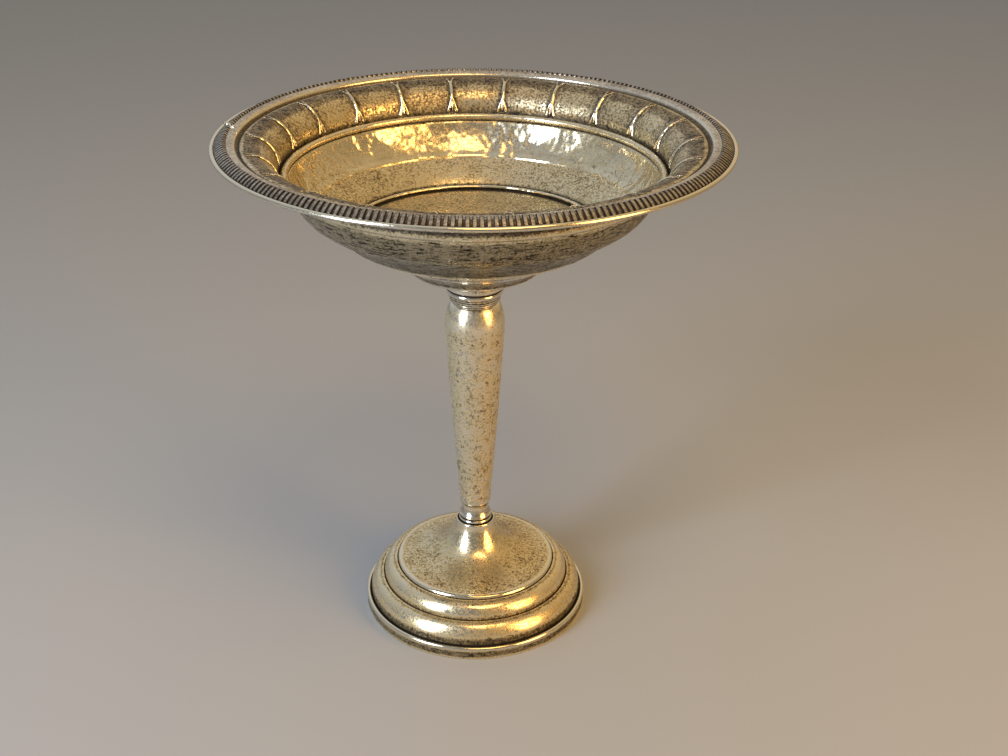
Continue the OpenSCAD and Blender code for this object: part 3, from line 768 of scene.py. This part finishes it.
# The collar's outline: from its mouth on the stem up to the crest under the bowl, then back down inside.
collar = {
    "segments": 256, "rounding": 0.07,
    "mouth": [(7.35, 108.9), (7.35, 109.2)],
    "throat": [(7.5, 109.4), (7.82, 109.75), (7.74, 110.0), (8.0, 110.5), (7.95, 110.8), (8.3, 111.4),
               (8.38, 111.8)],
    "ring": [(8.75, 112.4), (8.92, 112.8), (8.82, 113.2)], "groove": [(8.5, 113.55), (8.56, 113.8)],
    "band": [(9.1, 114.15), (9.1, 117.5)],
    "shelf": [(9.3, 117.7), (19.6, 120.2)], "shelfEdge": [(20.05, 120.55)],
    "flare": [(20.2, 121.0), (20.85, 121.9), (22.1, 122.95), (23.5, 123.95), (24.7, 124.75)],
    "flareCrease": [(24.98, 124.77)], "coneFoot": [(25.3, 125.0), (26.0, 125.5)], "coneLow": [(27.9, 126.85)],
    "coneGroove": [(29.3, 127.71), (29.55, 128.07)], "coneHigh": [(31.1, 128.9)], "coneEdge": [(33.5, 130.3)],
    "crest": [(34.2, 130.85)],
    "inside": [(33.5, 130.9), (30, 129.0), (8.5, 118.3), (8.45, 114.2), (7.9, 113.4), (6.75, 109.4),
               (6.75, 108.9)],
}


def collarStretches():
    c = collar
    return [
        (c["mouth"], 0.8, 0.5), (c["throat"], 0.55, 0.1), (c["ring"], 0.1), (c["groove"], 1.0, 1.0),
        (c["band"], 0.6, 0.22), (c["shelf"], 0.75, 0.2), (c["shelfEdge"], 0.15),
        (c["flare"], 0.55, 0.05, 0.4), (c["flareCrease"], 0.9, 0.7),
        (c["coneFoot"], 0.1), (c["coneLow"], 0.55, 0.12, 0.7), (c["coneGroove"], 0.8, 0.5),
        (c["coneHigh"], 0.5, 0.12, 0.7), (c["coneEdge"], 0.1), (c["crest"], 0.9, 0.8), (c["inside"], 0.9),
    ]


collarShell = spun("collar_shell", collarStretches(), collar)
finishPiece(collarShell, collarSilver, "bowl_silver", "bowl_collar")

# The stem's outline: from its seat on the foot up to the spigot inside the collar, then back down inside.
# A bead, ring or shoulder is given by its centre and its size.
stem = {
    "segments": 192, "rounding": 0.08,
    "seat": [(3.8, 30.5), (4.6, 30.5)], "bead": ((4.7, 31.2), (0.7, 0.7)), "groove": [(5.02, 32.1)],
    "rim": (5.25, 32.45), "neck": (5.3, 33.0), "waist": [(4.4, 35.5), (4.4, 36.9)], "waistBow": -0.3,
    "ring": ((4.1, 38.0), (0.9, 0.9)), "ringTop": (4.97, 38.4), "shaft": [(5.0, 38.9), (9.3, 101.4)],
    "shaftBow": 0.2, "shoulder": ((5.81, 101.4), (3.49, 8.21)),
    "spigot": [(6.65, 108.9), (6.65, 111.9), (5.85, 111.9), (5.85, 108.9)],
    "inside": [(8.0, 101.5), (4.4, 39.5), (3.8, 38.9)],
}


def stemStretches():
    t = stem
    return [
        (t["seat"], 0.9, 0.8),
        (arc(*t["bead"], -80, 62, 10), 0.05),
        (t["groove"], 1.0, 1.0),
        ([t["rim"], t["neck"]], 0.05),
        (bowed(t["neck"], t["waist"][0], t["waistBow"], 12), 0.15),
        (t["waist"], 0.5, 0.15),
        (arc(*t["ring"], -75, 0, 10), 0.15),
        ([t["ringTop"], t["shaft"][0]], 0.3),
        (bowed(*t["shaft"], t["shaftBow"], 60), 0.42),
        (arc(*t["shoulder"], 4, 66, 24), 0.25),
        (t["spigot"] + t["inside"], 0.9),
    ]


stemShell = spun("stem_tube", stemStretches(), stem)
finishPiece(stemShell, stemSilver, "stem_silver", "stem_shell")

# The foot's outline: from the hole under the stem down over the flare, the disc and two steps to the hem.
foot = {
    "segments": 320, "rounding": 0.1,
    "seat": [(3.3, 30.5), (5.3, 30.5)], "seatCrease": [(5.75, 30.55)], "neckRim": [(6.0, 30.88), (6.2, 30.8)],
    "flare": ((6.3, 30.9), (25.0, 16.7)), "flareShares": [(0, 0), (0.046, 0.42), (0.254, 0.88), (1, 1)],
    "flareZones": (1, 26, 36), "lip": ((25.0, 15.8), (0.9, 0.9)), "discGroove": [(25.82, 15.3)],
    "stepGroove": [(30.42, 10.5)], "edgeGroove": [(35.05, 3.75), (35.35, 3.5)],
    "edge": ((36.0, 3.7), (0.7, 0.7)),
    "band": [(36.7, 3.2), (36.68, 1.0)], "bandFoot": [(36.68, 0.25), (36.55, 0)],
    "hem": [(35.1, 0), (35.1, 0.6), (36.0, 0.6), (36.0, 2.6), (35.6, 2.9), (34.6, 3.2)],
    "inside": [(34.45, 4.8), (33.5, 8.2), (31.6, 9.9), (30.0, 10.2), (29.7, 11.6), (28.4, 14.0), (26.6, 14.9),
               (25.4, 15.3), (24.9, 16.0)],
    "insideFlare": ((5.7, 29.9), (24.0, 16.1)), "holeEdge": [(3.3, 29.9)],
}
upperStep = {
    "place": ((25.9, 11.0), (4.6, 4.8)), "rubbed": (66, 14), "dark": 10,
    "topMarks": (0.95, 0.8), "bellyMarks": (0.38,), "footMarks": (0.85, 0.6),
}
lowerStep = {
    "place": ((30.5, 4.8), (4.6, 6.2)), "rubbed": (66, 20), "dark": 14,
    "topMarks": (0.98, 0.9), "bellyMarks": (0.42,), "footMarks": (0.95, 0.85),
}


# A rounded step: dirty under the edge above it, rubbed on its belly and dirty again at its foot.
def stepStretches(step):
    return [(arc(*step["place"], 84, 74, 6), *step["topMarks"]),
            (arc(*step["place"], *step["rubbed"], 20), *step["bellyMarks"]),
            (arc(*step["place"], step["dark"], 0, 4), *step["footMarks"])]


def footStretches():
    f, (first, second, third) = foot, foot["flareZones"]
    flare = bezier(spread(*f["flare"], f["flareShares"]), 60)
    return [
        (f["seat"], 0.95, 0.6), (f["seatCrease"], 0.95, 1.0), (f["neckRim"], 0.1),
        (flare[first:second], 0.2), (flare[second:third], 0.4), (flare[third:], 0.56),
        (arc(*f["lip"], 80, 5, 8), 0.08),
        (f["discGroove"], 1.0, 1.0),
        *stepStretches(upperStep),
        (f["stepGroove"], 1.0, 1.0),
        *stepStretches(lowerStep),
        (f["edgeGroove"], 1.0, 1.0),
        (arc(*f["edge"], 165, 130, 4), 0.9, 0.9), (arc(*f["edge"], 115, 5, 12), 0.03),
        (f["band"], 0.65, 0.55, 0.6), (f["bandFoot"], 0.8, 0.5),
        (f["hem"] + f["inside"], 0.9),
        (spread(*f["insideFlare"], f["flareShares"])[::-1], 0.9),
        (f["holeEdge"], 0.9),
    ]


footShell = spun("foot_sheet", footStretches(), foot)
finishPiece(footShell, footSilver, "foot_silver", "foot_shell")

# The plate, rod and fillings keep their solids and get their own finishes.
keptNodes = {"base_plate": plateSilver, "reinforcing_rod": drawnSteel, "stem_filling": pitchFilling,
             "foot_weight": castPlaster}
for nodeName, material in keptNodes.items():
    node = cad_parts[nodeName]
    node.data.materials.clear()
    node.data.materials.append(material)
print("collar, stem and foot made")

# Daylight comes from the left and lamplight from the right; the floor is plain matt paper.
room = {
    "floorColour": "#979da4", "floorSize": 6.0, "floorRoughness": 0.9, "floorSheen": 0.1,
    "leftColour": "#c8ccd3", "rightColour": "#d6bc92", "sideReach": 0.35,
    "strength": (0.42, 1.05), "strengthReach": (0.1, 1.35), "aim": (0, 0, 0.09),
}
lamps = {
    "windowSide": {"place": (-0.60, -0.52, 0.38), "size": (0.32, 0.85), "power": 8.3, "colour": "#eef4ff"},
    "roomSide": {"place": (0.66, -0.44, 0.36), "size": (0.42, 0.8), "power": 7.1, "colour": "#ffc26c"},
    "above": {"place": (0.14, -0.42, 0.95), "size": (0.5, 0.5), "power": 3.3, "colour": "#ffcb7c"},
}


def makeFloor():
    mesh = bpy.data.meshes.new("floor")
    h = room["floorSize"] / 2
    mesh.from_pydata([(-h, -h, 0), (h, -h, 0), (h, h, 0), (-h, h, 0)], [], [(0, 1, 2, 3)])
    floor = newObject("floor", mesh)
    material, tree = newMaterial("palePaper")  # matt, so it shows the shadow and no glare
    shader = addNode(tree, "ShaderNodeBsdfPrincipled", {
        "Base Color": srgb(room["floorColour"]), "Roughness": room["floorRoughness"],
        "Specular IOR Level": room["floorSheen"]})
    addNode(tree, "ShaderNodeOutputMaterial", {"Surface": shader})
    mesh.materials.append(material)


# The room's walls: cool on the left, warm on the right, and brighter up and to the back.
def makeWorld():
    world = bpy.data.worlds.new("softRoom")
    scene.world = world
    world.use_nodes = True
    tree = world.node_tree
    tree.nodes.clear()
    towards = addNode(tree, "ShaderNodeTexCoord").outputs["Generated"]
    parts = addNode(tree, "ShaderNodeSeparateXYZ", {0: towards}).outputs
    side = (parts[0], -room["sideReach"], room["sideReach"])
    share = addNode(tree, "ShaderNodeMapRange", dict(zip(rangeInputs, side)))
    rise = addNode(tree, "ShaderNodeMath", {0: parts[1], 1: parts[2]}, operation="ADD")
    power = addNode(tree, "ShaderNodeMapRange",
                    dict(zip(rangeInputs, (rise, *room["strengthReach"], *room["strength"]))))
    colour = addNode(tree, "ShaderNodeMix", {
        0: share, 6: srgb(room["leftColour"]), 7: srgb(room["rightColour"])}, data_type="RGBA")
    sky = addNode(tree, "ShaderNodeBackground", {"Color": colour.outputs[2], "Strength": power})
    addNode(tree, "ShaderNodeOutputWorld", {"Surface": sky})


def makeLamps():
    for lampName, lamp in lamps.items():
        light = bpy.data.lights.new(lampName, "AREA")
        light.shape = "ELLIPSE"
        light.size, light.size_y = lamp["size"]
        light.energy = lamp["power"]
        light.color = srgb(lamp["colour"])[:3]
        holder = newObject(lampName, light)
        holder.location = lamp["place"]
        beam = Vector(room["aim"]) - Vector(lamp["place"])
        holder.rotation_euler = beam.to_track_quat("-Z", "Y").to_euler()


makeFloor()
makeWorld()
makeLamps()

# The camera stands where the photograph's circles put it.
view = {"lens": 49.146, "sensor": 36, "clip": (0.01, 50), "place": (0, -0.38765, 0.27809),
        "pitch": 26.81, "yaw": 1.35, "roll": 0.51}
pitch, yaw, roll = (math.radians(view[k]) for k in ("pitch", "yaw", "roll"))
ahead = Vector((math.sin(yaw) * math.cos(pitch), math.cos(yaw) * math.cos(pitch), -math.sin(pitch)))
level = Vector((math.cos(yaw), -math.sin(yaw), 0))
upright = level.cross(ahead)
across = math.cos(roll) * level + math.sin(roll) * upright
upwards = -math.sin(roll) * level + math.cos(roll) * upright
turned = Matrix((across, upwards, -ahead)).transposed().to_4x4()
turned.translation = view["place"]
lensData = bpy.data.cameras.new("photoCamera")
lensData.lens, lensData.sensor_width = view["lens"], view["sensor"]
lensData.clip_start, lensData.clip_end = view["clip"]
camera = newObject("photoCamera", lensData)
camera.matrix_world = turned
scene.camera = camera
scene.view_settings.view_transform = "Standard"
print("floor, light and camera made")
